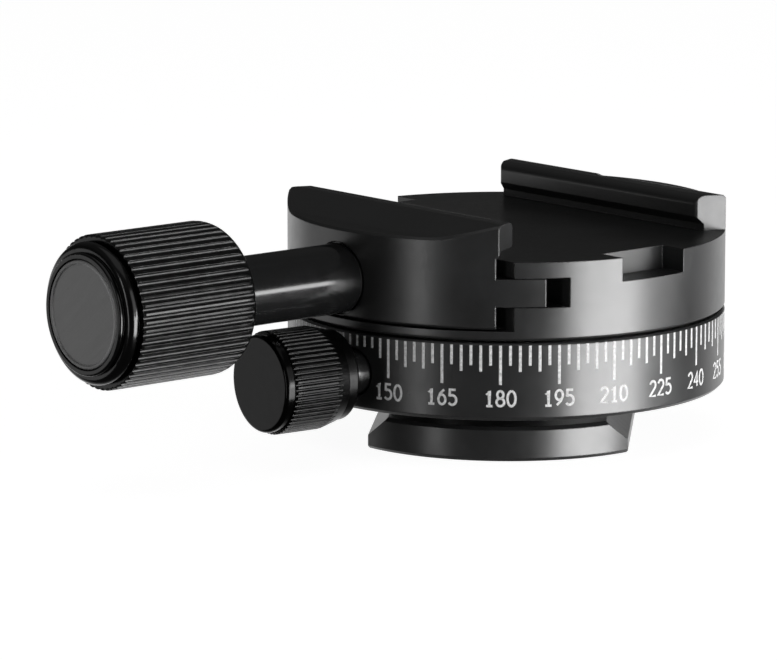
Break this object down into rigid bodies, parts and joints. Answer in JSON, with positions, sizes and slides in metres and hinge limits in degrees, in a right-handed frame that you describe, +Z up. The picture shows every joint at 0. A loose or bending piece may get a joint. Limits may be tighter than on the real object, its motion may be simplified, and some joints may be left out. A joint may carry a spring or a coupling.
{
  "type": "panoramic tripod head",
  "caption": "Low round quick-release clamp that pans on a graduated ring, with a knurled clamp knob on a long shaft, a small pan-lock knob, a dovetail channel on top and a dovetail foot below.",
  "frame": {"origin": "centre of the underside of the dovetail foot, on the pan axis", "axes": "+Z up along the pan axis; the clamp knob points along -X; the camera-plate channel runs along Y"},
  "size_m": [0.1111, 0.065, 0.037],
  "materials": {
    "black_anodise": "satin bead-blasted black anodise",
    "knob_black": "semi-gloss black anodise, fine knurl",
    "shaft_black": "glossy black anodise",
    "disc_grey": "brushed grey",
    "screw_steel": "black oxide",
    "steel": "bright",
    "scale_white": "white paint in the engraved scale",
    "spring_steel": "drawn wire",
    "brass": "turned",
    "nylon": "moulded",
    "pom_black": "moulded",
    "level_metal": "satin",
    "level_glass": "clear",
    "level_fluid": "clear tinted fluid"
  },
  "bodies": {
    "base": {"dovetail_foot": "black_anodise", "tripod_bushing": "steel", "foot_screws": "screw_steel", "scale_ring": "black_anodise", "pan_lock_insert": "brass", "upper_friction_washer": "nylon", "lower_friction_washer": "nylon"},
    "rotor": {"pan_spindle": "steel", "retaining_flange": "steel", "spindle_screws": "screw_steel", "clamp_body": "black_anodise", "level_cup": "level_metal", "level_window": "level_glass", "level_fluid": "level_fluid"},
    "jaw": {"movable_jaw": "black_anodise", "jaw_guide_pins": "steel", "jaw_springs": "spring_steel", "thrust_washer": "pom_black"},
    "clamp_knob": {"clamp_screw": "steel", "clamp_shaft": "shaft_black", "clamp_knob": "knob_black", "knob_face_disc": "disc_grey"},
    "pan_brake": {"brake_pad": "pom_black"},
    "pan_lock": {"pan_lock_screw": "steel", "pan_lock_hub": "shaft_black", "pan_lock_knob": "knob_black"}
  },
  "joints": [
    {"name": "pan", "type": "hinge", "parent": "base", "child": "rotor", "pos_m": [0, 0, 0.0185], "axis": [0, 0, 1], "continuous": true},
    {"name": "jaw_slide", "type": "slide", "parent": "rotor", "child": "jaw", "axis": [-1, 0, 0], "range_m": [-0.0015, 0.003], "deforming": ["jaw_springs"]},
    {"name": "clamp_knob_turn", "type": "hinge", "parent": "jaw", "child": "clamp_knob", "pos_m": [-0.0549, 0, 0.026], "axis": [-1, 0, 0], "range_deg": [-540.1, 1080.1]},
    {"name": "pan_brake_slide", "type": "slide", "parent": "base", "child": "pan_brake", "axis": [-0.9962, 0.0872, 0], "range_m": [-0.00007, 0.00105]},
    {"name": "pan_lock_turn", "type": "hinge", "parent": "pan_brake", "child": "pan_lock", "pos_m": [-0.03548, -0.00282, 0.01265], "axis": [-0.9962, 0.0872, 0], "range_deg": [-36.1, 540.1]}
  ],
  "couplings": [
    {"joint": "clamp_knob_turn", "follows": "jaw_slide", "rad_per_m": 6283.2},
    {"joint": "pan_lock_turn", "follows": "pan_brake_slide", "rad_per_m": 8976}
  ]
}
